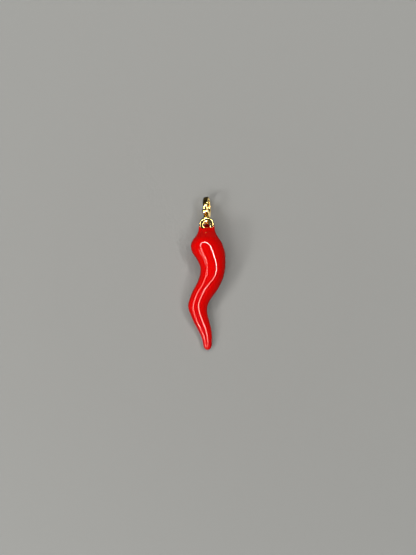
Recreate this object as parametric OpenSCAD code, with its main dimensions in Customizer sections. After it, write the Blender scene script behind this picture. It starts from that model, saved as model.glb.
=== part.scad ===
// Chili pepper pendant: a red enamelled pepper with a gold ring in its collar and a small gold clasp.
// Millimetres. The pendant lies on its side on the plane z = 0, with the clasp towards +Y.

/* [Pepper] */
// Length of the enamelled body, from its tip to the top of the collar
pepper_l = 32.3; // [28:0.1:38]
// Width across the two bends
pepper_w = 9.9; // [8:0.1:12]
// Thickness of the bulb below the neck
bulb_t = 7.9; // [7:0.1:10]
// Flats around one section of the body
pepper_sides = 32; // [16:4:40]
// Steps between two rows of the section table
pepper_steps = 3; // [1:1:4]

/* [Hanging ring] */
// Radius of the ring at the middle of its wire
ring_r = 1.42; // [1.4:0.01:1.5]
// Radius of the ring's wire
ring_wire_r = 0.61; // [0.5:0.01:0.61]
// Height of the ring's middle above the top of the collar
ring_rise = 1.1; // [0.9:0.05:1.2]
// Height of the ring's middle above the surface that the pendant lies on
ring_z = 3.25; // [3:0.05:3.6]
// Free space round the wire in the collar
ring_seat_gap = 0.02; // [0.01:0.01:0.05]

/* [Clasp body] */
// Thickness of the claw
claw_t = 1.3; // [1.1:0.05:1.5]
// Wall of the claw, from its outer face to its opening
claw_wall = 0.8; // [0.6:0.05:0.9]
// Length of the claw's oval
claw_l = 5.7; // [5.5:0.1:5.8]
// Width of the claw's oval
claw_w = 4.2; // [4:0.1:4.4]
// Distance from the eye to the middle of the claw
claw_mid = 3.5; // [3.4:0.05:3.7]
// Outer radius of the eye
eye_r = 1.4; // [1.35:0.05:1.5]
// Radius of the hole in the eye
eye_hole_r = 0.87; // [0.85:0.01:0.9]
// Thickness of the eye
eye_t = 1.05; // [0.9:0.05:1.1]
// Angle that the clasp's far end drops below its eye
clasp_drop = 17; // [15:0.5:18]
// Angle that the clasp leans over to the left
clasp_lean = 14; // [10:1:15]

/* [Lever] */
// Distance of the rivet from the eye, along the clasp
rivet_u = 1.78; // [1.75:0.01:1.82]
// Distance of the rivet from the clasp's middle line, towards the lever
rivet_v = 0.15; // [0.1:0.01:0.2]
// Radius of the rivet, a tight fit in the cheeks
rivet_r = 0.28; // [0.22:0.01:0.3]
// Free space round the rivet in the lever
rivet_play = 0.04; // [0.03:0.01:0.06]
// Radius of the two cheeks that hold the rivet
cheek_r = 0.8; // [0.75:0.01:0.82]
// Thickness of the lever between the cheeks
knuckle_t = 0.6; // [0.5:0.05:0.65]
// Width of the lever's arm
arm_t = 1.15; // [1:0.05:1.2]
// Gap between the lever's end and the claw's tip
seam_gap = 0.05; // [0.03:0.01:0.08]

/* [Hidden] */
ENAMEL = "#d80f0f";
GOLD = "#d9ae4f";

// The ring's wire passes through the eye a little below the eye's middle, because it curves.
eye_above_ring = ring_r - 0.06;
// Places on the claw's oval, as angles: 0 is the nose, 90 the lever's side and -90 the back.
claw_root = -140;
claw_tip = 83;
seam_turn = seam_gap / claw_w * 360 / PI;
arm_root = 128;
// The base of the claw holds the cheeks between the eye and the opening.
base_mid = 2.4;
base_r = 1.72;
base_end = 2.65;
waist_end = 1.05;
base_proud = 0.02;
// The rivet's fit in the cheeks, and how far its two ends stand out of them
rivet_fit = 0.01;
rivet_head = 0.03;
eye_edge = 0.2;
// The channel between the cheeks, and the clearance that the wide arm keeps from them
channel_gap = 0.05;
channel_r = 0.66;
knuckle_r = 0.6;
arm_clear = 0.07;
// The slot in the neck, where the channel runs on towards the eye
neck_slot_start = 0.85;
neck_slot_floor = 0.65;
// The round end of the thumb tab
tab_end = [1.45, 2.0];
tab_end_r = 0.36;

clasp_reach = claw_mid * cos(clasp_drop) + norm([claw_l / 2 * cos(clasp_drop), claw_w / 2 * sin(clasp_drop)]);
overall_l = pepper_l + ring_rise + eye_above_ring + clasp_reach;
tip_y = -overall_l / 2;
collar_y = tip_y + pepper_l;
ring_y = collar_y + ring_rise;
eye_y = ring_y + eye_above_ring;

// The body's sections, from the tip to the collar, drawn for a body 32.3 long, 9.9 wide and 7.9 thick.
// Columns: distance from the tip, left edge, right edge, half of the thickness, height of the middle,
// shift of the crest to the right as a share of the half width, fullness (2 is an ellipse, more is squarer)
DRAWN = [32.3, 9.9, 7.9];
SECTIONS = [
    [0.00, 0.10, 0.30, 0.10, 0.60, -0.26, 1.98],
    [0.08, -0.25, 0.65, 0.40, 0.70, -0.28, 1.97],
    [0.35, -0.55, 0.95, 0.69, 0.81, -0.30, 1.95],
    [0.95, -0.85, 1.25, 0.90, 0.95, -0.33, 1.94],
    [2.0, -1.05, 1.35, 1.04, 1.06, -0.36, 1.93],
    [3.5, -1.45, 1.40, 1.21, 1.21, -0.39, 1.92],
    [5.5, -2.40, 1.20, 1.45, 1.45, -0.42, 1.91],
    [7.5, -3.45, 0.70, 1.70, 1.70, -0.44, 1.90],
    [9.5, -4.30, 0.20, 1.96, 1.96, -0.38, 1.90],
    [11.5, -4.95, 0.15, 2.22, 2.22, -0.29, 1.92],
    [13.5, -4.60, 0.95, 2.48, 2.48, -0.26, 1.96],
    [15.5, -3.85, 2.40, 2.77, 2.77, -0.25, 2.01],
    [17.5, -2.80, 3.60, 3.09, 3.09, -0.21, 2.07],
    [19.5, -1.95, 4.40, 3.32, 3.32, -0.14, 2.13],
    [21.5, -1.65, 4.85, 3.37, 3.37, -0.11, 2.15],
    [23.0, -2.00, 4.95, 3.46, 3.46, -0.10, 2.10],
    [24.5, -2.80, 4.95, 3.63, 3.63, -0.17, 2.00],
    [26.0, -3.80, 4.85, 3.81, 3.81, -0.16, 1.90],
    [27.5, -4.20, 4.40, 3.95, 3.95, -0.13, 1.83],
    [28.5, -4.05, 4.00, 3.82, 4.00, -0.12, 1.80],
    [29.5, -3.55, 3.45, 3.44, 3.94, -0.07, 1.81],
    [30.5, -2.75, 2.70, 2.72, 3.70, -0.04, 1.83],
    [31.5, -2.20, 2.20, 1.87, 3.42, 0.00, 1.85],
    [32.3, -2.10, 2.10, 1.29, 3.26, 0.03, 1.88]
];

// A smooth curve through the rows of a table: t counts rows, and parts of a row lie between them.
function row(table, i) = table[max(0, min(len(table) - 1, i))];
function between(table, t) =
    let (
        i = floor(t),
        f = t - i,
        a = row(table, i - 1),
        b = row(table, i),
        c = row(table, i + 1),
        d = row(table, i + 2)
    )
    0.5 * (2 * b + (c - a) * f + (2 * a - 5 * b + 4 * c - d) * f * f + (3 * b - a - 3 * c + d) * f * f * f);

// A cosine or sine bent to make a section squarer (power under 1) or more pointed (power over 1)
function bent(c, power) = sign(c) * pow(abs(c), power);

// One section of the body: a rounded form whose crest lies a little to one side
function section(s) =
    let (
        stretch = [pepper_w / DRAWN[1], pepper_l / DRAWN[0], bulb_t / DRAWN[2]],
        left = s[1] * stretch[0],
        right = s[2] * stretch[0],
        crest = (left + right) / 2 + s[5] * (right - left) / 2,
        half_t = s[3] * stretch[2],
        lift = max(0, s[4] - s[3]) * stretch[2],
        power = 2 / s[6]
    )
    [for (k = [0 : pepper_sides - 1])
        let (a = 360 * k / pepper_sides, across = bent(cos(a), power), up = bent(sin(a), power))
        [
            crest + (across > 0 ? right - crest : crest - left) * across,
            tip_y + s[0] * stretch[1],
            lift + half_t * (1 + up)
        ]];

// A closed skin over a stack of sections that all have the same number of points
module skin(sections) {
    n = len(sections[0]);
    last = len(sections) - 1;
    points = [for (s = sections) for (p = s) p];
    sides = [for (i = [0 : last - 1]) for (k = [0 : n - 1])
        let (a = i * n + k, b = i * n + (k + 1) % n)
        for (face = [[a, b, b + n], [a, b + n, a + n]]) face];
    caps = [[for (k = [n - 1 : -1 : 0]) k], [for (k = [0 : n - 1]) last * n + k]];
    polyhedron(points, concat(sides, caps));
}

// A ring of round-edged section, with its outer face at radius r
module round_ring(r, wall, thick, edge) {
    rotate_extrude($fn = 96)
        translate([r - wall / 2, 0]) {
            square([wall - 2 * edge, thick], center = true);
            square([wall, thick - 2 * edge], center = true);
            for (sx = [-1, 1])
                for (sy = [-1, 1])
                    translate([sx * (wall / 2 - edge), sy * (thick / 2 - edge)])
                        circle(r = edge, $fn = 32);
        }
}

// A round-edged bar along the claw's oval, between two angles on it
bar_sides = 16;
bar_step = 8;
bar_softness = 0.55;
function bar_section(angle, wall, thick) =
    let (
        a = claw_l / 2,
        b = claw_w / 2,
        out = [b * cos(angle), a * sin(angle)] / norm([b * cos(angle), a * sin(angle)])
    )
    [for (k = [0 : bar_sides - 1])
        let (
            turn = 360 * (k + 0.5) / bar_sides,
            depth = wall / 2 * (1 - bent(cos(turn), bar_softness)),
            p = [claw_mid + a * cos(angle), b * sin(angle)] - depth * out
        )
        [p[0], p[1], thick / 2 * bent(sin(turn), bar_softness)]];
module oval_bar(from, to, wall, thick) {
    steps = ceil(abs(to - from) / bar_step);
    skin([for (i = [0 : steps]) bar_section(from + (to - from) * i / steps, wall, thick)]);
}

// The clasp is drawn flat: x along it from the eye, y towards the lever, z across its thickness.
module clasp_place() {
    translate([0, eye_y, ring_z])
        rotate([-clasp_drop, 0, 0])
            rotate([0, -clasp_lean, 0])
                rotate([90, 0, 90])
                    children();
}

module at_rivet() {
    translate([rivet_u, rivet_v, 0])
        children();
}

// The solid part between the eye and the opening, lower on the lever's side
module claw_base() {
    linear_extrude(height = claw_t + 2 * base_proud, center = true) {
        intersection() {
            translate([base_mid, 0])
                circle(r = base_r, $fn = 96);
            union() {
                translate([0, -base_r])
                    square([base_end, base_r + rivet_v]);
                translate([0, -base_r])
                    square([waist_end, 2 * base_r]);
            }
        }
        at_rivet()
            circle(r = cheek_r, $fn = 64);
    }
}

module channel() {
    slot_t = knuckle_t + 2 * channel_gap;
    at_rivet()
        cylinder(r = channel_r, h = slot_t, center = true, $fn = 64);
    translate([rivet_u - channel_r, rivet_v, -slot_t / 2])
        cube([channel_r + base_end, base_end, slot_t]);
    translate([neck_slot_start, neck_slot_floor, -slot_t / 2])
        cube([rivet_u - neck_slot_start, base_end, slot_t]);
}

module clasp_body() {
    color(GOLD)
        clasp_place()
            difference() {
                union() {
                    oval_bar(claw_root, claw_tip, claw_wall, claw_t);
                    claw_base();
                    round_ring(eye_r, eye_r - eye_hole_r, eye_t, eye_edge);
                }
                channel();
                cylinder(r = eye_hole_r, h = 2 * claw_t, center = true, $fn = 64);
                at_rivet()
                    cylinder(r = rivet_r + rivet_fit, h = 2 * claw_t, center = true, $fn = 48);
            }
}

// The arm and the thumb tab, as wide as the claw, kept clear of the cheeks
module lever_arm() {
    // Corners of the thumb tab up to its round end: distance from the eye, height above the middle line
    tab = [[1.62, 0.9], [1.4, 1.5], [1.13, 1.86], [1.63, 2.31], [2.3, 1.85], [2.3, 1.1]];
    difference() {
        union() {
            oval_bar(claw_tip + seam_turn, arm_root, claw_wall, arm_t);
            linear_extrude(height = claw_t, center = true) {
                polygon(tab);
                translate(tab_end)
                    circle(r = tab_end_r, $fn = 32);
            }
        }
        at_rivet()
            cylinder(r = cheek_r + arm_clear, h = 2 * claw_t, center = true, $fn = 64);
    }
}

// The narrow part of the lever between the cheeks
module lever_knuckle() {
    web_reach = 1.2;
    web_angles = [35, 62, 88];
    at_rivet()
        linear_extrude(height = knuckle_t, center = true) {
            circle(r = knuckle_r, $fn = 64);
            polygon(concat([[0, 0]], [for (a = web_angles) web_reach * [cos(a), sin(a)]]));
        }
}

module clasp_lever() {
    color(GOLD)
        clasp_place()
            difference() {
                union() {
                    lever_arm();
                    lever_knuckle();
                }
                at_rivet()
                    cylinder(r = rivet_r + rivet_play, h = 2 * claw_t, center = true, $fn = 48);
            }
}

module rivet_pin() {
    color(GOLD)
        clasp_place()
            at_rivet()
                cylinder(r = rivet_r, h = claw_t + 2 * base_proud + 2 * rivet_head, center = true, $fn = 48);
}

module ring_solid(wire_r) {
    translate([0, ring_y, ring_z])
        rotate_extrude($fn = 96)
            translate([ring_r, 0])
                circle(r = wire_r, $fn = 48);
}

module hanging_ring() {
    color(GOLD)
        ring_solid(ring_wire_r);
}

module pepper_body() {
    last = (len(SECTIONS) - 1) * pepper_steps;
    color(ENAMEL)
        difference() {
            skin([for (i = [0 : last]) section(between(SECTIONS, i / pepper_steps))]);
            ring_solid(ring_wire_r + ring_seat_gap);
        }
}

pepper_body();
hanging_ring();
clasp_body();
clasp_lever();
rivet_pin();
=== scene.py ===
"""The looks of a chili pepper pendant: red poured enamel, a gold ring and a small gold clasp.

Lengths named in millimetres are turned into Blender's metres by the MM factor when a mesh is placed.
"""

import math

import bmesh
import bpy
import numpy as np
from mathutils import Matrix, Vector


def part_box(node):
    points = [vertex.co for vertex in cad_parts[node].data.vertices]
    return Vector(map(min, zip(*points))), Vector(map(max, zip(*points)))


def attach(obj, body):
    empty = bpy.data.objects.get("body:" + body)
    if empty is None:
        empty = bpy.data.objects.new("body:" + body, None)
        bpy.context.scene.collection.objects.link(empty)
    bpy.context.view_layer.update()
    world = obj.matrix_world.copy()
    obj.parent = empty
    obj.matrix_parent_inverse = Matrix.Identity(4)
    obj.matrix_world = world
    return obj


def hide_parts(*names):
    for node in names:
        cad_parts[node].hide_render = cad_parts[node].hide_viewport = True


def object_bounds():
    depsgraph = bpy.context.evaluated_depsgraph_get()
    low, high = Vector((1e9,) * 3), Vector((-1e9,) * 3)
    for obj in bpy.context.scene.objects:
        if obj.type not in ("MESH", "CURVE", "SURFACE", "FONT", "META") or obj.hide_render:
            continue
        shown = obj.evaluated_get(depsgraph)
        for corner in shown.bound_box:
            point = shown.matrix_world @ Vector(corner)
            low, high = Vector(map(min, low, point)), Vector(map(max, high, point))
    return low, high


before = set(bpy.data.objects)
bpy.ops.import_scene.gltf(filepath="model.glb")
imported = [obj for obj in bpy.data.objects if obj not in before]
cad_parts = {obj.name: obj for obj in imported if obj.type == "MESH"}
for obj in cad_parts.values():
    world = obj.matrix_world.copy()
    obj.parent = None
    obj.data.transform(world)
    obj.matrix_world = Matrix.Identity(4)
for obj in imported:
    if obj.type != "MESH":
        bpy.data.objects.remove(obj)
cad_low, cad_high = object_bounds()
MM = 0.001


# Table, camera and lights
# The pendant lies on a plain pale table and is seen straight from above. A ring lamp hangs high over it,
# a little to the left and near side, and gives the enamel its long loop of light. A small panel low on the
# near left adds a soft sheen there, and a side light models the forms and casts the shadow to the right.
CAMERA_X = 0.34 * MM
CAMERA_Y = -1.06 * MM
CAMERA_HEIGHT = 200 * MM
PICTURE_HEIGHT_ANGLE = math.radians(41.0)
SENSOR = 36.0
NEAREST_SEEN = 0.01
FARTHEST_SEEN = 10.0

camera_data = bpy.data.cameras.new("camera")
camera_data.sensor_fit = "AUTO"
camera_data.sensor_width = SENSOR
camera_data.lens = SENSOR / 2 / math.tan(PICTURE_HEIGHT_ANGLE / 2)
camera_data.clip_start = NEAREST_SEEN
camera_data.clip_end = FARTHEST_SEEN
camera = bpy.data.objects.new("camera", camera_data)
camera.location = (CAMERA_X, CAMERA_Y, CAMERA_HEIGHT)
bpy.context.scene.collection.objects.link(camera)
bpy.context.scene.camera = camera
bpy.context.scene.view_settings.view_transform = "Standard"

LAMP_MIDDLE = (-0.041, -0.041)
LAMP_RADIUS = 0.218
LAMP_HEIGHT = 0.25
LAMP_WIDTH = 0.015
LAMP_PIECES = 96
LAMP_RADIANCE = 43.2
LAMP_TINT = (1.0, 0.93, 0.80, 1.0)
# How strongly the lamp glows round its ring. Columns: angle (0 right, 90 the far side), share
LAMP_SHARES = [
    (0, 1.15), (40, 1.2), (90, 1.2), (150, 1.3), (175, 0.55), (190, 0.7), (203, 0.5), (215, 0.6),
    (231, 0.85), (239, 4.4), (250, 4.4), (262, 0.6), (290, 0.75), (305, 0.4), (335, 0.5),
]


def soft_lamp(name, rims, shares, radiance):
    """A staged lamp between two rows of points, each stretch with its share of the radiance."""
    inner, outer = rims
    faces = []
    for k in range(len(shares)):
        after = (k + 1) % len(inner)
        faces.append((k, after, len(inner) + after, len(inner) + k))
    mesh = bpy.data.meshes.new(name)
    mesh.from_pydata([*inner, *outer], [], faces)
    mesh.attributes.new("share", "FLOAT", "FACE").data.foreach_set("value", shares)
    glow = bpy.data.materials.new(name)
    glow.use_nodes = True
    shader = glow.node_tree.nodes["Principled BSDF"]
    shader.inputs["Base Color"].default_value = (0, 0, 0, 1)
    shader.inputs["Emission Color"].default_value = LAMP_TINT
    share = glow.node_tree.nodes.new("ShaderNodeAttribute")
    share.attribute_name = "share"
    strength = glow.node_tree.nodes.new("ShaderNodeMath")
    strength.operation = "MULTIPLY"
    strength.inputs[1].default_value = radiance
    glow.node_tree.links.new(share.outputs["Fac"], strength.inputs[0])
    glow.node_tree.links.new(strength.outputs["Value"], shader.inputs["Emission Strength"])
    mesh.materials.append(glow)
    lamp = bpy.data.objects.new(name, mesh)
    lamp.visible_camera = False
    bpy.context.scene.collection.objects.link(lamp)


def round_lamp(radius, around):
    """A point of the ring lamp."""
    x, y = LAMP_MIDDLE
    return (x + radius * math.cos(around), y + radius * math.sin(around), LAMP_HEIGHT)


lamp_turns = np.arange(LAMP_PIECES) * 360 / LAMP_PIECES
share_angles, share_values = zip(*LAMP_SHARES)
soft_lamp(
    "ring_lamp",
    [
        [round_lamp(LAMP_RADIUS + side * LAMP_WIDTH / 2, a) for a in np.radians(lamp_turns).tolist()]
        for side in (-1, 1)
    ],
    np.interp(lamp_turns, share_angles, share_values, period=360).tolist(),
    LAMP_RADIANCE,
)

# The small soft panel bends round the pendant at some distance.
PANEL_DISTANCE = 0.5
PANEL_TOP = math.radians(61)
PANEL_FOOT = math.radians(70)
PANEL_PIECES = 12
PANEL_RADIANCE = 2.4
# How strongly the panel glows from its left end to its right one. Columns: angle, share
PANEL_SHARES = [(205, 0.6), (218, 1.0), (231, 0.6)]


def panel_point(around, from_zenith):
    """A point of the panel, at an angle round the pendant and an angle down from straight above it."""
    level = PANEL_DISTANCE * math.sin(from_zenith)
    return (level * math.cos(around), level * math.sin(around), PANEL_DISTANCE * math.cos(from_zenith))


share_angles, share_values = zip(*PANEL_SHARES)
panel_turns = np.linspace(share_angles[0], share_angles[-1], PANEL_PIECES + 1)
soft_lamp(
    "soft_panel",
    [[panel_point(a, edge) for a in np.radians(panel_turns).tolist()] for edge in (PANEL_TOP, PANEL_FOOT)],
    np.interp((panel_turns[:-1] + panel_turns[1:]) / 2, share_angles, share_values).tolist(),
    PANEL_RADIANCE,
)

# The side light only models the forms: polished surfaces don't mirror it.
SIDE_ENERGY = 2.25
SIDE_SIZE = 0.12
SIDE_DISTANCE = 0.5
SIDE_AROUND = math.radians(212)
SIDE_FROM_ZENITH = math.radians(60)
side_data = bpy.data.lights.new("side_light", "AREA")
side_data.energy = SIDE_ENERGY
side_data.size = SIDE_SIZE
side_data.color = LAMP_TINT[:3]
side_light = bpy.data.objects.new("side_light", side_data)
side_light.location = SIDE_DISTANCE * Vector((
    math.sin(SIDE_FROM_ZENITH) * math.cos(SIDE_AROUND),
    math.sin(SIDE_FROM_ZENITH) * math.sin(SIDE_AROUND),
    math.cos(SIDE_FROM_ZENITH),
))
side_light.rotation_euler = side_light.location.to_track_quat("Z", "Y").to_euler()
side_light.visible_glossy = False
bpy.context.scene.collection.objects.link(side_light)

# The room gives the gold a faint light to mirror. The camera sees it in the table's own tone, and the table
# runs out into that tone, so side views have no dark horizon.
BACKDROP_TONE = (0.365, 0.37, 0.355, 1.0)
ROOM_LIGHT = 0.05
world = bpy.data.worlds.new("room")
world.use_nodes = True
room = world.node_tree
room_ray = room.nodes.new("ShaderNodeLightPath")
room_strength = room.nodes.new("ShaderNodeMapRange")
room_strength.inputs["To Min"].default_value = ROOM_LIGHT
room_strength.inputs["To Max"].default_value = 1.0
room.nodes["Background"].inputs["Color"].default_value = BACKDROP_TONE
room.links.new(room_ray.outputs["Is Camera Ray"], room_strength.inputs["Value"])
room.links.new(room_strength.outputs["Result"], room.nodes["Background"].inputs["Strength"])
bpy.context.scene.world = world

TABLE_HALF = 3.0
TABLE_TONE = (0.178, 0.190, 0.209, 1.0)
PAPER_ROUGHNESS = 0.9
PAPER_SHINE = 0.2
# Painted reflection: polished surfaces see the table pale in one small patch beside the clasp, which puts a
# painted reflection on the clasp's back, and dark elsewhere, a painted dark in their reflections
PAINTED_REFLECTION_PALE = (0.62, 0.62, 0.53, 1.0)
PAINTED_REFLECTION_DARK = (0.01, 0.01, 0.01, 1.0)
PAINTED_REFLECTION_MIDDLE = (3 * MM, 17.2 * MM, 0)
PAINTED_REFLECTION_FROM = 2.5 * MM
PAINTED_REFLECTION_TO = 4.5 * MM
# The table runs out into the backdrop between these distances
FADE_FROM = 0.04
FADE_TO = 0.22
table_mesh = bpy.data.meshes.new("table")
table_corners = [(x * TABLE_HALF, y * TABLE_HALF, 0) for x, y in ((-1, -1), (1, -1), (1, 1), (-1, 1))]
table_mesh.from_pydata(table_corners, [], [(0, 1, 2, 3)])
table = bpy.data.objects.new("table", table_mesh)
bpy.context.scene.collection.objects.link(table)
paper = bpy.data.materials.new("table_paper")
paper.use_nodes = True
paper_tree = paper.node_tree
paper_shader = paper_tree.nodes["Principled BSDF"]
paper_place = paper_tree.nodes.new("ShaderNodeTexCoord")
painted_reflection_reach = paper_tree.nodes.new("ShaderNodeVectorMath")
painted_reflection_reach.operation = "DISTANCE"
painted_reflection_reach.inputs[1].default_value = PAINTED_REFLECTION_MIDDLE
paper_ray = paper_tree.nodes.new("ShaderNodeLightPath")
painted_reflection_share = paper_tree.nodes.new("ShaderNodeMapRange")
painted_reflection_share.inputs["From Min"].default_value = PAINTED_REFLECTION_FROM
painted_reflection_share.inputs["From Max"].default_value = PAINTED_REFLECTION_TO
# The tone glossy rays see: a painted reflection, pale in the patch and dark elsewhere
painted_reflection_tone = paper_tree.nodes.new("ShaderNodeMix")
painted_reflection_tone.data_type = "RGBA"
painted_reflection_tone.inputs["A"].default_value = PAINTED_REFLECTION_PALE
painted_reflection_tone.inputs["B"].default_value = PAINTED_REFLECTION_DARK
# Other rays see the table's own tone, glossy rays see the painted reflection
table_or_painted_reflection_tone = paper_tree.nodes.new("ShaderNodeMix")
table_or_painted_reflection_tone.data_type = "RGBA"
table_or_painted_reflection_tone.inputs["A"].default_value = TABLE_TONE
distance_out = paper_tree.nodes.new("ShaderNodeVectorMath")
distance_out.operation = "LENGTH"
fade = paper_tree.nodes.new("ShaderNodeMapRange")
fade.inputs["From Min"].default_value = FADE_FROM
fade.inputs["From Max"].default_value = FADE_TO
faded_tone = paper_tree.nodes.new("ShaderNodeMix")
faded_tone.data_type = "RGBA"
faded_tone.inputs["B"].default_value = (0, 0, 0, 1)
backdrop = paper_tree.nodes.new("ShaderNodeMath")
backdrop.operation = "MULTIPLY"
paper_shader.inputs["Roughness"].default_value = PAPER_ROUGHNESS
paper_shader.inputs["Specular IOR Level"].default_value = PAPER_SHINE
paper_shader.inputs["Emission Color"].default_value = BACKDROP_TONE
for source, target in (
    (paper_place.outputs["Object"], painted_reflection_reach.inputs[0]),
    (painted_reflection_reach.outputs["Value"], painted_reflection_share.inputs["Value"]),
    (painted_reflection_share.outputs["Result"], painted_reflection_tone.inputs["Factor"]),
    (paper_ray.outputs["Is Glossy Ray"], table_or_painted_reflection_tone.inputs["Factor"]),
    (painted_reflection_tone.outputs["Result"], table_or_painted_reflection_tone.inputs["B"]),
    (paper_place.outputs["Object"], distance_out.inputs[0]),
    (distance_out.outputs["Value"], fade.inputs["Value"]),
    (fade.outputs["Result"], faded_tone.inputs["Factor"]),
    (table_or_painted_reflection_tone.outputs["Result"], faded_tone.inputs["A"]),
    (faded_tone.outputs["Result"], paper_shader.inputs["Base Color"]),
    (fade.outputs["Result"], backdrop.inputs[0]),
    (paper_ray.outputs["Is Camera Ray"], backdrop.inputs[1]),
    (backdrop.outputs["Value"], paper_shader.inputs["Emission Strength"]),
):
    paper_tree.links.new(source, target)
table_mesh.materials.append(paper)


# Enamelled pepper
# A metal core under thick red enamel: a round bulb, two bends and a blunt tip. The enamel is poured,
# so its surface is glassy, swells and sinks a little, and climbs round the ring in an uneven cup.
PEPPER_LENGTH = 32.3
PEPPER_SIDES = 96
RINGS_PER_ROW = 8
# Columns: distance from the tip, left edge, right edge, half of the thickness, height of the middle,
# shift of the crest to the right as a share of the half width, fullness (2 is an ellipse, more is squarer)
PEPPER_ROWS = [
    (0.00, 0.10, 0.30, 0.10, 0.60, -0.26, 1.98),
    (0.08, -0.25, 0.65, 0.40, 0.70, -0.28, 1.97),
    (0.35, -0.55, 0.95, 0.69, 0.81, -0.30, 1.95),
    (0.95, -0.85, 1.25, 0.90, 0.95, -0.33, 1.94),
    (2.0, -1.05, 1.35, 1.04, 1.06, -0.36, 1.93),
    (3.5, -1.45, 1.40, 1.21, 1.21, -0.39, 1.92),
    (5.5, -2.40, 1.20, 1.45, 1.45, -0.42, 1.91),
    (7.5, -3.45, 0.70, 1.70, 1.70, -0.44, 1.90),
    (9.5, -4.30, 0.20, 1.96, 1.96, -0.38, 1.90),
    (11.5, -4.95, 0.15, 2.22, 2.22, -0.29, 1.92),
    (13.5, -4.60, 0.95, 2.48, 2.48, -0.26, 1.96),
    (15.5, -3.85, 2.40, 2.77, 2.77, -0.25, 2.01),
    (17.5, -2.80, 3.60, 3.09, 3.09, -0.21, 2.07),
    (19.5, -1.95, 4.40, 3.32, 3.32, -0.14, 2.13),
    (21.5, -1.65, 4.85, 3.37, 3.37, -0.11, 2.15),
    (23.0, -2.00, 4.95, 3.46, 3.46, -0.10, 2.10),
    (24.5, -2.80, 4.95, 3.63, 3.63, -0.17, 2.00),
    (26.0, -3.80, 4.85, 3.81, 3.81, -0.16, 1.90),
    (27.5, -4.20, 4.40, 3.95, 3.95, -0.13, 1.83),
    (28.5, -4.05, 4.00, 3.82, 4.00, -0.12, 1.80),
    (29.5, -3.55, 3.45, 3.44, 3.94, -0.07, 1.81),
    (30.5, -2.75, 2.70, 2.72, 3.70, -0.04, 1.83),
    (31.5, -2.20, 2.20, 1.87, 3.42, 0.00, 1.85),
    (32.3, -2.10, 2.10, 1.29, 3.26, 0.03, 1.88),
]
# The cup's rim round the neck. Columns: angle (0 right, 90 the front, 180 left), height above the collar
RIM_ROWS = [
    (0, 0.62), (20, 0.50), (38, 0.16), (55, 0.08), (70, 0.14), (86, -0.06), (100, 0.05), (118, -0.12),
    (132, -0.24), (150, 0.14), (166, 0.52), (180, 0.64), (205, 0.5), (235, 0.75), (270, 1.05), (305, 0.8),
    (335, 0.5),
]
# The rim's rises begin this far below the collar's end
CLIMB = 2.4
CUP_WALL = 0.42
CUP_DEPTH = 0.42
LIP_STEPS = 8
BOWL_STEPS = 12
# The bowl's last ring of points is this much smaller than its rim
BOWL_SHRINK = 0.98
# The cup's painted shade is full from this share of the way between its rim and its middle
CUP_SHADE_FULL_AT = 0.35

tip_y = cad_low.y / MM
collar_y = tip_y + PEPPER_LENGTH


def spline(rows, places):
    """Smooth values of a table's columns at the given row numbers: a natural cubic spline."""
    values = np.array(rows, float)
    n = len(values)
    system = np.eye(n)
    right = np.zeros_like(values)
    for i in range(1, n - 1):
        system[i, i - 1 : i + 2] = (1, 4, 1)
        right[i] = 6 * (values[i - 1] - 2 * values[i] + values[i + 1])
    bend = np.linalg.solve(system, right)
    at = np.clip(np.array(places, float), 0, n - 1)
    low = np.minimum(at.astype(int), n - 2)
    f = (at - low)[:, None]
    a, b = 1 - f, f
    return a * values[low] + b * values[low + 1] + ((a**3 - a) * bend[low] + (b**3 - b) * bend[low + 1]) / 6


def skin(rings, close_start=True, close_end=True):
    """A closed mesh over a stack of point rings, each end closed by a pole, with its faces outward."""
    mesh = bmesh.new()
    loops = [[mesh.verts.new(p) for p in ring] for ring in rings]
    count = len(loops[0])
    for lower, upper in zip(loops, loops[1:]):
        for k in range(count):
            j = (k + 1) % count
            mesh.faces.new((lower[k], lower[j], upper[j], upper[k]))
    for loop, wanted in ((loops[0], close_start), (loops[-1], close_end)):
        if wanted:
            pole = mesh.verts.new(sum((v.co for v in loop), Vector()) / count)
            for k in range(count):
                mesh.faces.new((loop[k], loop[(k + 1) % count], pole))
    bmesh.ops.recalc_face_normals(mesh, faces=mesh.faces)
    return mesh


def kept(name, built):
    """A mesh with the given name from a bmesh, which is freed."""
    data = bpy.data.meshes.new(name)
    built.to_mesh(data)
    built.free()
    return data


def shown(name, data):
    """A new smooth object at the origin, whose mesh holds its place in metres."""
    for face in data.polygons:
        face.use_smooth = True
    obj = bpy.data.objects.new(name, data)
    bpy.context.scene.collection.objects.link(obj)
    return obj


def bent(c, power):
    """A cosine or sine bent to make a section squarer, with a power under 1, or more pointed, over 1."""
    return math.copysign(abs(c) ** power, c)


turns = np.arange(PEPPER_SIDES) * 2 * math.pi / PEPPER_SIDES
# The rim's rows are put in three times over, so that its curve closes smoothly
rim_angle = [a + turn for turn in (-360, 0, 360) for a, _ in RIM_ROWS]
rim_place = np.interp(np.degrees(turns), rim_angle, np.arange(len(rim_angle)))
rim = spline([(height,) for _, height in RIM_ROWS * 3], rim_place)[:, 0]

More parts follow.
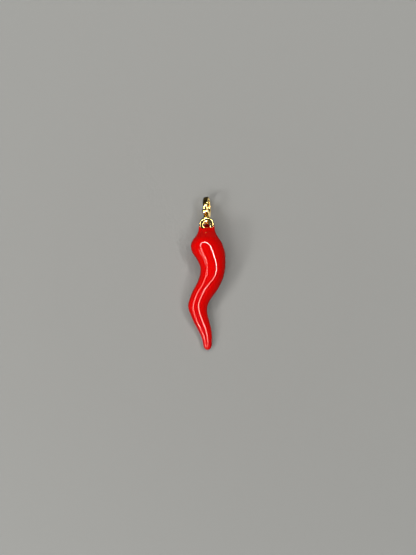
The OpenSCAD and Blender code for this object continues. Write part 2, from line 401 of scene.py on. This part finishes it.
rows = spline(PEPPER_ROWS, np.arange((len(PEPPER_ROWS) - 1) * RINGS_PER_ROW + 1) / RINGS_PER_ROW)
pepper_rings = []
for distance, left, right, half, middle, shift, fullness in rows:
    climb = max(0.0, 1 - (PEPPER_LENGTH - distance) / CLIMB) ** 2
    lift = max(0.0, middle - half)
    crest = (left + right) / 2 + shift * (right - left) / 2
    pepper_rings.append([
        Vector((
            crest + (right - crest if math.cos(a) > 0 else crest - left) * bent(math.cos(a), 2 / fullness),
            tip_y + distance + climb * h,
            lift + half * (1 + bent(math.sin(a), 2 / fullness)),
        ))
        for a, h in zip(turns, rim)
    ])
neck = pepper_rings[-1]
neck_middle = Vector((0, 0, sum(p.z for p in neck) / PEPPER_SIDES))
neck_outward = [(Vector((p.x, 0, p.z)) - neck_middle).normalized() for p in neck]
for step in range(1, LIP_STEPS + 1):
    around = math.pi * step / LIP_STEPS
    inward = CUP_WALL / 2 * (1 - math.cos(around))
    over = Vector((0, CUP_WALL / 2 * math.sin(around), 0))
    pepper_rings.append([p + over - inward * outward for p, outward in zip(neck, neck_outward)])
rim_inside = pepper_rings[-1]
ring_cup_shade = [0.0] * len(pepper_rings)
for step in range(1, BOWL_STEPS + 1):
    share = step / BOWL_STEPS
    # How strongly the cup's painted shade falls on this ring of points
    ring_cup_shade.append(min(1.0, share / CUP_SHADE_FULL_AT))
    bowl = CUP_DEPTH * math.sin(share * math.pi / 2)
    pepper_rings.append([
        Vector((
            p.x * (1 - share * BOWL_SHRINK),
            p.y + (collar_y - p.y) * share - bowl,
            neck_middle.z + (p.z - neck_middle.z) * (1 - share * BOWL_SHRINK),
        ))
        for p in rim_inside
    ])
pepper_mesh = kept("enamelled_pepper", skin(pepper_rings))
pepper_mesh.transform(Matrix.Scale(MM, 4))
# How strongly each point takes the cup's painted shade, from 0 to 1: the poles of the tip and of the cup come
# last
cup_painted_shade = [depth for depth in ring_cup_shade for _ in range(PEPPER_SIDES)] + [0.0, 1.0]
pepper_mesh.attributes.new("cup_painted_shade", "FLOAT", "POINT").data.foreach_set("value", cup_painted_shade)
pepper = shown("enamelled_pepper", pepper_mesh)


def material(name):
    """A new node material, its Principled shader, and a function that adds a node to it."""
    made = bpy.data.materials.new(name)
    made.use_nodes = True
    tree = made.node_tree

    def add(kind, **values):
        node = tree.nodes.new(kind)
        for key, value in values.items():
            setattr(node, key, value)
        return node

    return made, tree, tree.nodes["Principled BSDF"], add


def group(name, inputs, outputs):
    """An empty shader node group with float inputs (name, default) and outputs (name, kind)."""
    tree = bpy.data.node_groups.new(name, "ShaderNodeTree")
    for label, value in inputs:
        tree.interface.new_socket(label, in_out="INPUT", socket_type="NodeSocketFloat").default_value = value
    for label, kind in outputs:
        tree.interface.new_socket(label, in_out="OUTPUT", socket_type=kind)
    return tree, tree.nodes.new("NodeGroupInput"), tree.nodes.new("NodeGroupOutput")


# Slow swells of a poured or polished surface, as a height. Each finish sets its own scale
SWELL_SCALE = 400.0
SWELL_DETAIL = 1.0
SWELL_ROUGHNESS = 0.4
swell_tree, swell_in, swell_out = group(
    "soft_swell", [("Scale", SWELL_SCALE)], [("Height", "NodeSocketFloat")]
)
coordinates = swell_tree.nodes.new("ShaderNodeTexCoord")
swell_noise = swell_tree.nodes.new("ShaderNodeTexNoise")
swell_noise.inputs["Detail"].default_value = SWELL_DETAIL
swell_noise.inputs["Roughness"].default_value = SWELL_ROUGHNESS
swell_tree.links.new(coordinates.outputs["Object"], swell_noise.inputs["Vector"])
swell_tree.links.new(swell_in.outputs["Scale"], swell_noise.inputs["Scale"])
swell_tree.links.new(swell_noise.outputs["Fac"], swell_out.inputs["Height"])

# The red is a little deeper where the enamel is thick, and dark down in the cup round the ring: painted shade
# in that recess.
DEEP_RED = (0.41, 0.0006, 0.0005, 1.0)
CLEAR_RED = (0.47, 0.0008, 0.0006, 1.0)
NECK_RED = (0.42, 0.0010, 0.0006, 1.0)
# Painted shade for the cup's hollow round the ring
CUP_PAINTED_SHADE = (0.03, 0.0005, 0.0004, 1.0)
NECK_FROM = 9.4 * MM
NECK_TO = 11.4 * MM
THICKNESS_SCALE = 160.0
GLASS_IOR = 1.65
GLASS_SMOOTH = 0.02
GLASS_DULL = 0.05
POURED_SCALE = 420.0
POURED_STRENGTH = 0.12
POURED_HEIGHT = 0.02 * MM
enamel, enamel_tree, enamel_shader, add = material("red_poured_enamel")
enamel_shader.inputs["IOR"].default_value = GLASS_IOR
enamel_place = add("ShaderNodeTexCoord")
enamel_parts = add("ShaderNodeSeparateXYZ")
thickness = add("ShaderNodeGroup", node_tree=swell_tree)
thickness.inputs["Scale"].default_value = THICKNESS_SCALE
red = add("ShaderNodeMix", data_type="RGBA")
red.inputs["A"].default_value = DEEP_RED
red.inputs["B"].default_value = CLEAR_RED
neck_share = add("ShaderNodeMapRange")
neck_share.inputs["From Min"].default_value = NECK_FROM
neck_share.inputs["From Max"].default_value = NECK_TO
neck_tone = add("ShaderNodeMix", data_type="RGBA")
neck_tone.inputs["B"].default_value = NECK_RED
# The cup's painted shade, stronger deeper in the cup
cup_shade_share = add("ShaderNodeAttribute", attribute_name="cup_painted_shade")
cup_shade_tone = add("ShaderNodeMix", data_type="RGBA")
cup_shade_tone.inputs["B"].default_value = CUP_PAINTED_SHADE
enamel_gloss = add("ShaderNodeMapRange")
enamel_gloss.inputs["To Min"].default_value = GLASS_SMOOTH
enamel_gloss.inputs["To Max"].default_value = GLASS_DULL
enamel_swell = add("ShaderNodeGroup", node_tree=swell_tree)
enamel_swell.inputs["Scale"].default_value = POURED_SCALE
enamel_bump = add("ShaderNodeBump")
enamel_bump.inputs["Strength"].default_value = POURED_STRENGTH
enamel_bump.inputs["Distance"].default_value = POURED_HEIGHT
for source, target in (
    (enamel_place.outputs["Object"], enamel_parts.inputs["Vector"]),
    (enamel_parts.outputs["Y"], neck_share.inputs["Value"]),
    (thickness.outputs["Height"], red.inputs["Factor"]),
    (red.outputs["Result"], neck_tone.inputs["A"]),
    (neck_share.outputs["Result"], neck_tone.inputs["Factor"]),
    (neck_tone.outputs["Result"], cup_shade_tone.inputs["A"]),
    (cup_shade_share.outputs["Fac"], cup_shade_tone.inputs["Factor"]),
    (cup_shade_tone.outputs["Result"], enamel_shader.inputs["Base Color"]),
    (thickness.outputs["Height"], enamel_gloss.inputs["Value"]),
    (enamel_gloss.outputs["Result"], enamel_shader.inputs["Roughness"]),
    (enamel_swell.outputs["Height"], enamel_bump.inputs["Height"]),
    (enamel_bump.outputs["Normal"], enamel_shader.inputs["Normal"]),
):
    enamel_tree.links.new(source, target)
pepper.data.materials.append(enamel)
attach(pepper, "pendant")
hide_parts("pepper_body")


# Hanging ring
# One thick gold wire, a little squared by the tool that bent it into a ring. It is soldered shut and set
# in the neck before the enamel is poured, so its lower third is buried.
ring_low, ring_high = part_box("hanging_ring")
RING_WIRE = (ring_high.z - ring_low.z) / 2
RING_RADIUS = (ring_high.x - ring_low.x) / 2 - RING_WIRE
# The squared wire is a little thinner than the round one, and this share of its half width is rounded off
WIRE_SQUARED = 0.96
WIRE_ROUNDED = 0.66
RING_PIECES = 128
EDGE_PIECES = 9
ring_middle = (ring_low + ring_high) / 2

ring_tree = bpy.data.node_groups.new("wire_ring", "GeometryNodeTree")
for label in ("Ring Radius", "Wire Width", "Edge Radius"):
    ring_tree.interface.new_socket(label, in_out="INPUT", socket_type="NodeSocketFloat")
ring_tree.interface.new_socket("Material", in_out="INPUT", socket_type="NodeSocketMaterial")
ring_tree.interface.new_socket("Geometry", in_out="OUTPUT", socket_type="NodeSocketGeometry")
ring_in = ring_tree.nodes.new("NodeGroupInput")
ring_out = ring_tree.nodes.new("NodeGroupOutput")
ring_path = ring_tree.nodes.new("GeometryNodeCurvePrimitiveCircle")
ring_path.inputs["Resolution"].default_value = RING_PIECES
ring_section = ring_tree.nodes.new("GeometryNodeCurvePrimitiveQuadrilateral")
ring_edges = ring_tree.nodes.new("GeometryNodeFilletCurve")
ring_edges.mode = "POLY"
ring_edges.inputs["Count"].default_value = EDGE_PIECES
ring_sweep = ring_tree.nodes.new("GeometryNodeCurveToMesh")
ring_realize = ring_tree.nodes.new("GeometryNodeRealizeInstances")
ring_finish = ring_tree.nodes.new("GeometryNodeSetMaterial")
for source, target in (
    (ring_in.outputs["Ring Radius"], ring_path.inputs["Radius"]),
    (ring_in.outputs["Wire Width"], ring_section.inputs["Width"]),
    (ring_in.outputs["Wire Width"], ring_section.inputs["Height"]),
    (ring_section.outputs["Curve"], ring_edges.inputs["Curve"]),
    (ring_in.outputs["Edge Radius"], ring_edges.inputs["Radius"]),
    (ring_path.outputs["Curve"], ring_sweep.inputs["Curve"]),
    (ring_edges.outputs["Curve"], ring_sweep.inputs["Profile Curve"]),
    (ring_sweep.outputs["Mesh"], ring_realize.inputs["Geometry"]),
    (ring_realize.outputs["Geometry"], ring_finish.inputs["Geometry"]),
    (ring_in.outputs["Material"], ring_finish.inputs["Material"]),
    (ring_finish.outputs["Geometry"], ring_out.inputs["Geometry"]),
):
    ring_tree.links.new(source, target)

# Hairline polishing marks, as a mask: thin streaks in two directions. Columns: angle, scale along the streak
MARKS = [(25, 0.06), (-50, 0.08)]
MARKS_TILT = 20
MARKS_SCALE = 1500.0
MARKS_DETAIL = 3.0
MARKS_FROM = 0.56
MARKS_TO = 0.72
marks_tree, marks_in, marks_out = group(
    "polish_marks", [("Scale", MARKS_SCALE)], [("Mask", "NodeSocketFloat")]
)
marks_coordinates = marks_tree.nodes.new("ShaderNodeTexCoord")
marks_join = marks_tree.nodes.new("ShaderNodeMath")
marks_join.operation = "MAXIMUM"
for slot_number, (angle, stretch) in enumerate(MARKS):
    mapping = marks_tree.nodes.new("ShaderNodeMapping")
    mapping.inputs["Rotation"].default_value = [math.radians(a) for a in (angle, MARKS_TILT, angle)]
    mapping.inputs["Scale"].default_value = (1.0, stretch, 1.0)
    streaks = marks_tree.nodes.new("ShaderNodeTexNoise")
    streaks.inputs["Detail"].default_value = MARKS_DETAIL
    sharpen = marks_tree.nodes.new("ShaderNodeMapRange")
    sharpen.inputs["From Min"].default_value = MARKS_FROM
    sharpen.inputs["From Max"].default_value = MARKS_TO
    marks_tree.links.new(marks_coordinates.outputs["Object"], mapping.inputs["Vector"])
    marks_tree.links.new(mapping.outputs["Vector"], streaks.inputs["Vector"])
    marks_tree.links.new(marks_in.outputs["Scale"], streaks.inputs["Scale"])
    marks_tree.links.new(streaks.outputs["Fac"], sharpen.inputs["Value"])
    marks_tree.links.new(sharpen.outputs["Result"], marks_join.inputs[slot_number])
marks_tree.links.new(marks_join.outputs["Value"], marks_out.inputs["Mask"])

# How strongly the swells tip the gold's surface
SWELL_STRENGTH = 0.5


def gold(name, colour, smooth, scratched, swell_scale, swell_height):
    """A gold-plated finish: its roughness goes from smooth to scratched in the polishing marks."""
    made, tree, shader, add = material(name)
    shader.inputs["Base Color"].default_value = (*colour, 1.0)
    shader.inputs["Metallic"].default_value = 1.0
    marks = add("ShaderNodeGroup", node_tree=marks_tree)
    roughness = add("ShaderNodeMapRange")
    roughness.inputs["To Min"].default_value = smooth
    roughness.inputs["To Max"].default_value = scratched
    swell = add("ShaderNodeGroup", node_tree=swell_tree)
    swell.inputs["Scale"].default_value = swell_scale
    bump = add("ShaderNodeBump")
    bump.inputs["Strength"].default_value = SWELL_STRENGTH
    bump.inputs["Distance"].default_value = swell_height
    tree.links.new(marks.outputs["Mask"], roughness.inputs["Value"])
    tree.links.new(roughness.outputs["Result"], shader.inputs["Roughness"])
    tree.links.new(swell.outputs["Height"], bump.inputs["Height"])
    tree.links.new(bump.outputs["Normal"], shader.inputs["Normal"])
    return made


wire_gold = gold(
    "gold_drawn_wire",
    colour=(0.90, 0.67, 0.28),
    smooth=0.12,
    scratched=0.22,
    swell_scale=700.0,
    swell_height=0.002 * MM,
)


def from_tree(name, tree, values):
    """The plain mesh that a geometry node tree makes from named input values."""
    holder = bpy.data.objects.new(name, bpy.data.meshes.new(name))
    bpy.context.scene.collection.objects.link(holder)
    modifier = holder.modifiers.new(name, "NODES")
    modifier.node_group = tree
    for item in tree.interface.items_tree:
        if item.name in values:
            modifier[item.identifier] = values[item.name]
    made = holder.evaluated_get(bpy.context.evaluated_depsgraph_get())
    result = bpy.data.meshes.new_from_object(made)
    bpy.data.objects.remove(holder)
    return result


wire_half = RING_WIRE * WIRE_SQUARED
ring_mesh = from_tree(
    "hanging_ring_wire",
    ring_tree,
    {
        "Ring Radius": RING_RADIUS,
        "Wire Width": 2 * wire_half,
        "Edge Radius": wire_half * WIRE_ROUNDED,
        "Material": wire_gold,
    },
)
ring_mesh.transform(Matrix.Translation(ring_middle))
ring = shown("hanging_ring_wire", ring_mesh)
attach(ring, "pendant")
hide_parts("hanging_ring")


# Clasp body
# One small gold casting: an eye that hangs in the ring, two cheeks with a channel between them, and
# the hook-shaped claw. It is tumbled and polished, which rounds every edge.
EYE_RADIUS = 1.4
EYE_HOLE = 0.87
EYE_THICK = 1.05
CLASP_DROP = math.radians(17)
CLASP_LEAN = math.radians(14)
CLAW_MIDDLE = 3.5
CLAW_LENGTH = 5.7
CLAW_WIDTH = 4.2
CLAW_WALL = 0.8
CLAW_THICK = 1.3
CLAW_ROOT = math.radians(-140)
CLAW_TIP = math.radians(83)
CLAW_STEP = math.radians(2.5)
# The claw's base is the part of a disc that lies between these angles
BASE_MIDDLE = (2.4, 0)
BASE_RADIUS = 1.72
BASE_ARC = range(142, 280, 2)
RIVET_PLACE = Vector((1.78, 0.15, 0))
CHEEK_RADIUS = 0.8
CHANNEL_THICK = 0.7
CHANNEL_RADIUS = 0.66
CHANNEL_END = 3.15
CHANNEL_TOP = 3.0
NECK_SLOT_START = 0.85
NECK_SLOT_FLOOR = 0.65
BORE_RADIUS = 0.29
# Power that bends a bar's round section towards a square one
EDGE_SOFTNESS = 0.6
BAR_SIDES = 40
# Points closer than this are one point
SAME_POINT = 0.0001
# How far the middle of the eye's hole lies inside the middle line of the ring's wire
EYE_INSIDE = 0.06
CIRCLE_PIECES = 96
FULL_TURN = [360 * k / CIRCLE_PIECES for k in range(CIRCLE_PIECES)]
THROUGH = 2 * CLAW_THICK

eye_place = Vector((0, (ring_middle.y + RING_RADIUS) / MM - EYE_INSIDE, ring_middle.z / MM))
clasp_place = (
    Matrix.Scale(MM, 4)
    @ Matrix.Translation(eye_place)
    @ Matrix.Rotation(-CLASP_DROP, 4, "X")
    @ Matrix.Rotation(-CLASP_LEAN, 4, "Y")
    @ Matrix.Rotation(math.pi / 2, 4, "Z")
    @ Matrix.Rotation(math.pi / 2, 4, "X")
)


def arc(middle, radius, angles):
    """Points in the clasp's flat plane, at the given angles round a middle."""
    turns = (math.radians(a) for a in angles)
    return [Vector((middle[0] + radius * math.cos(a), middle[1] + radius * math.sin(a), 0)) for a in turns]


def rectangle(left, right, low, high):
    """The corners of a rectangle in the clasp's flat plane."""
    return [Vector((x, y, 0)) for x, y in ((left, low), (right, low), (right, high), (left, high))]


def slab(outline, thick):
    """A flat plate of the given outline, centred across the clasp's thickness."""
    half = Vector((0, 0, thick / 2))
    return skin([[p - half for p in outline], [p + half for p in outline]])


def band(middles, outwards, wall, thick, closed):
    """A round-edged bar whose outer face follows the given points, wall deep and thick across."""
    rings = []
    for p, out in zip(middles, outwards):
        turns = (2 * math.pi * (k + 0.5) / BAR_SIDES for k in range(BAR_SIDES))
        rings.append([
            p - out * wall / 2 * (1 - bent(math.cos(t), EDGE_SOFTNESS))
            + Vector((0, 0, thick / 2 * bent(math.sin(t), EDGE_SOFTNESS)))
            for t in turns
        ])
    if closed:
        rings.append(rings[0])
    mesh = skin(rings, not closed, not closed)
    bmesh.ops.remove_doubles(mesh, verts=mesh.verts, dist=SAME_POINT)
    return mesh


def claw_bar(start, end, wall, thick):
    """The claw's bar along its oval, between two angles: 0 is the nose and 90 the lever's side."""
    count = math.ceil(abs(end - start) / CLAW_STEP)
    middles, outwards = [], []
    for step in range(count + 1):
        a = start + (end - start) * step / count
        middles.append(Vector((CLAW_MIDDLE + CLAW_LENGTH / 2 * math.cos(a), CLAW_WIDTH / 2 * math.sin(a), 0)))
        outwards.append(Vector((CLAW_WIDTH * math.cos(a), CLAW_LENGTH * math.sin(a), 0)).normalized())
    return band(middles, outwards, wall, thick, False)


# The castings are run together in grains of this size, then smoothed in this many light passes
CAST_GRAIN = 0.035
TUMBLING = 8
TUMBLING_STRENGTH = 0.5


def cast(name, solids, cuts):
    """One casting in metres: solids run together, cuts taken out, and edges softened by the polishing."""
    whole = bmesh.new()
    for solid in solids:
        part = kept(name, solid)
        whole.from_mesh(part)
    holder = bpy.data.objects.new(name, kept(name, whole))
    bpy.context.scene.collection.objects.link(holder)
    run_together = holder.modifiers.new("run_together", "REMESH")
    run_together.mode = "VOXEL"
    run_together.voxel_size = CAST_GRAIN
    tools = []
    for cut in cuts:
        tool = bpy.data.objects.new("cut", kept("cut", cut))
        bpy.context.scene.collection.objects.link(tool)
        taken = holder.modifiers.new("cut", "BOOLEAN")
        taken.operation = "DIFFERENCE"
        taken.solver = "EXACT"
        taken.object = tool
        tools.append(tool)
    even = holder.modifiers.new("even", "REMESH")
    even.mode = "VOXEL"
    even.voxel_size = CAST_GRAIN
    tumbled = holder.modifiers.new("tumbled", "SMOOTH")
    tumbled.factor = TUMBLING_STRENGTH
    tumbled.iterations = TUMBLING
    result = bpy.data.meshes.new_from_object(holder.evaluated_get(bpy.context.evaluated_depsgraph_get()))
    for obj in [holder, *tools]:
        bpy.data.objects.remove(obj)
    result.name = name
    result.transform(clasp_place)
    return result


eye_circle = arc((0, 0), EYE_RADIUS, FULL_TURN)
eye_band = band(eye_circle, [p.normalized() for p in eye_circle], EYE_RADIUS - EYE_HOLE, EYE_THICK, True)
base = slab(arc(BASE_MIDDLE, BASE_RADIUS, BASE_ARC), CLAW_THICK)
cheeks = slab(arc(RIVET_PLACE, CHEEK_RADIUS, FULL_TURN), CLAW_THICK)
knuckle_room = slab(arc(RIVET_PLACE, CHANNEL_RADIUS, FULL_TURN), CHANNEL_THICK)
arm_room = slab(
    rectangle(RIVET_PLACE.x - CHANNEL_RADIUS, CHANNEL_END, RIVET_PLACE.y, CHANNEL_TOP), CHANNEL_THICK
)
neck_slot = slab(rectangle(NECK_SLOT_START, RIVET_PLACE.x, NECK_SLOT_FLOOR, CHANNEL_TOP), CHANNEL_THICK)
bore = slab(arc(RIVET_PLACE, BORE_RADIUS, FULL_TURN), THROUGH)
eye_hole = slab(arc((0, 0), EYE_HOLE, FULL_TURN), THROUGH)

cast_gold = gold(
    "gold_polished_casting",
    colour=(0.86, 0.64, 0.23),
    smooth=0.12,
    scratched=0.24,
    swell_scale=900.0,
    swell_height=0.003 * MM,
)
body_mesh = cast(
    "clasp_casting",
    [claw_bar(CLAW_ROOT, CLAW_TIP, CLAW_WALL, CLAW_THICK), base, cheeks, eye_band],
    [knuckle_room, arm_room, neck_slot, bore, eye_hole],
)
body_mesh.materials.append(cast_gold)
clasp_casting = shown("clasp_casting", body_mesh)
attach(clasp_casting, "pendant")
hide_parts("clasp_body")


# Clasp lever
# A second gold casting with a thumb tab. A narrow knuckle goes down between the cheeks, and its arm
# closes the claw's mouth.
ARM_THICK = 1.15
SEAM_TURN = math.radians(1.4)
ARM_ROOT = math.radians(128)
TAB = [(1.62, 0.9), (1.42, 1.5), (1.16, 1.85), (1.4, 2.19), (2.05, 2.22), (2.3, 1.8), (2.3, 1.1)]
TAB_END = (1.4, 1.88)
TAB_END_RADIUS = 0.3
KNUCKLE_THICK = 0.6
KNUCKLE_RADIUS = 0.6
WEB_REACH = 1.2
WEB_ANGLES = (35, 62, 88)
ARM_CLEAR = 0.07
LEVER_BORE_RADIUS = 0.32

tab = slab([Vector((x, y, 0)) for x, y in TAB], CLAW_THICK)
tab_end = slab(arc(TAB_END, TAB_END_RADIUS, FULL_TURN), CLAW_THICK)
knuckle = slab(arc(RIVET_PLACE, KNUCKLE_RADIUS, FULL_TURN), KNUCKLE_THICK)
web = slab([RIVET_PLACE, *arc(RIVET_PLACE, WEB_REACH, WEB_ANGLES)], KNUCKLE_THICK)
arm = claw_bar(CLAW_TIP + SEAM_TURN, ARM_ROOT, CLAW_WALL, ARM_THICK)
cheek_room = []
for side in (-1, 1):
    room = slab(arc(RIVET_PLACE, CHEEK_RADIUS + ARM_CLEAR, FULL_TURN), CLAW_THICK)
    bmesh.ops.translate(room, verts=room.verts, vec=(0, 0, side * (CLAW_THICK + KNUCKLE_THICK) / 2))
    cheek_room.append(room)
lever_bore = slab(arc(RIVET_PLACE, LEVER_BORE_RADIUS, FULL_TURN), THROUGH)
lever_mesh = cast("lever_casting", [arm, tab, tab_end, knuckle, web], [*cheek_room, lever_bore])
lever_mesh.materials.append(cast_gold)
lever_casting = shown("lever_casting", lever_mesh)
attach(lever_casting, "lever")
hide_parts("clasp_lever")


# Rivet pin
# A plain round pin pressed through both cheeks and peened over, so each end stands out as a low dome.
PIN_RADIUS = 0.28
PIN_HALF = 0.7
PIN_DOME = 0.06
PIN_DOME_ANGLES = range(0, 90, 10)

pin_rings = []
for side in (-1, 1):
    dome = [
        (PIN_RADIUS * math.cos(a), side * (PIN_HALF - PIN_DOME + PIN_DOME * math.sin(a)))
        for a in (math.radians(d) for d in PIN_DOME_ANGLES)
    ]
    for radius, height in dome if side > 0 else reversed(dome):
        pin_rings.append([p + Vector((0, 0, height)) for p in arc(RIVET_PLACE, radius, FULL_TURN)])
pin_mesh = kept("rivet_pin_turned", skin(pin_rings))
pin_mesh.transform(clasp_place)
pin_gold = gold(
    "gold_turned_pin",
    colour=(0.88, 0.64, 0.27),
    smooth=0.12,
    scratched=0.3,
    swell_scale=1200.0,
    swell_height=0.003 * MM,
)
pin_mesh.materials.append(pin_gold)
pin = shown("rivet_pin_turned", pin_mesh)
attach(pin, "pendant")
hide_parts("rivet_pin")
